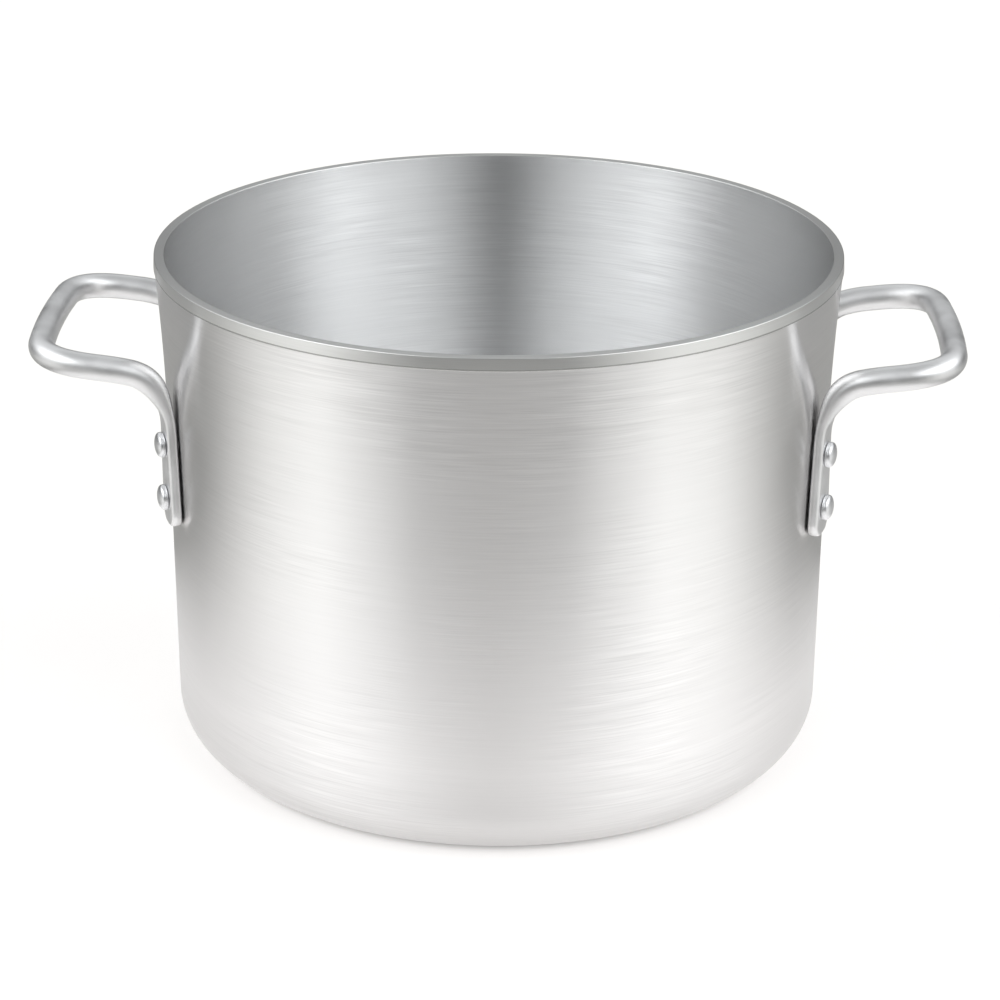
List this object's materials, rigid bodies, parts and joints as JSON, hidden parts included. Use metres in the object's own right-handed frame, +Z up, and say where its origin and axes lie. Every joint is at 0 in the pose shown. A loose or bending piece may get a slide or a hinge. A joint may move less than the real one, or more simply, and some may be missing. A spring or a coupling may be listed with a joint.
{
  "type": "stock pot",
  "caption": "Open aluminium stock pot with a thick spun body, a rounded base, a rim band and two riveted rod loop handles.",
  "frame": {"origin": "centre of the flat base, on the surface the pot stands on", "axes": "+Z up through the mouth; the handles stand out along +X and -X; -Y is the front"},
  "size_m": [0.4674, 0.345, 0.26],
  "materials": {
    "body_aluminium": "lathe-brushed, satin, fine lines running round the pot",
    "handle_aluminium": "smooth satin rod with small tool marks",
    "rivet_aluminium": "satin, formed heads"
  },
  "bodies": {
    "root": {"pot_body": "body_aluminium", "handle_right": "handle_aluminium", "handle_left": "handle_aluminium", "rivet_right_front_upper": "rivet_aluminium", "rivet_right_front_lower": "rivet_aluminium", "rivet_right_rear_upper": "rivet_aluminium", "rivet_right_rear_lower": "rivet_aluminium", "rivet_left_front_upper": "rivet_aluminium", "rivet_left_front_lower": "rivet_aluminium", "rivet_left_rear_upper": "rivet_aluminium", "rivet_left_rear_lower": "rivet_aluminium"}
  },
  "joints": []
}
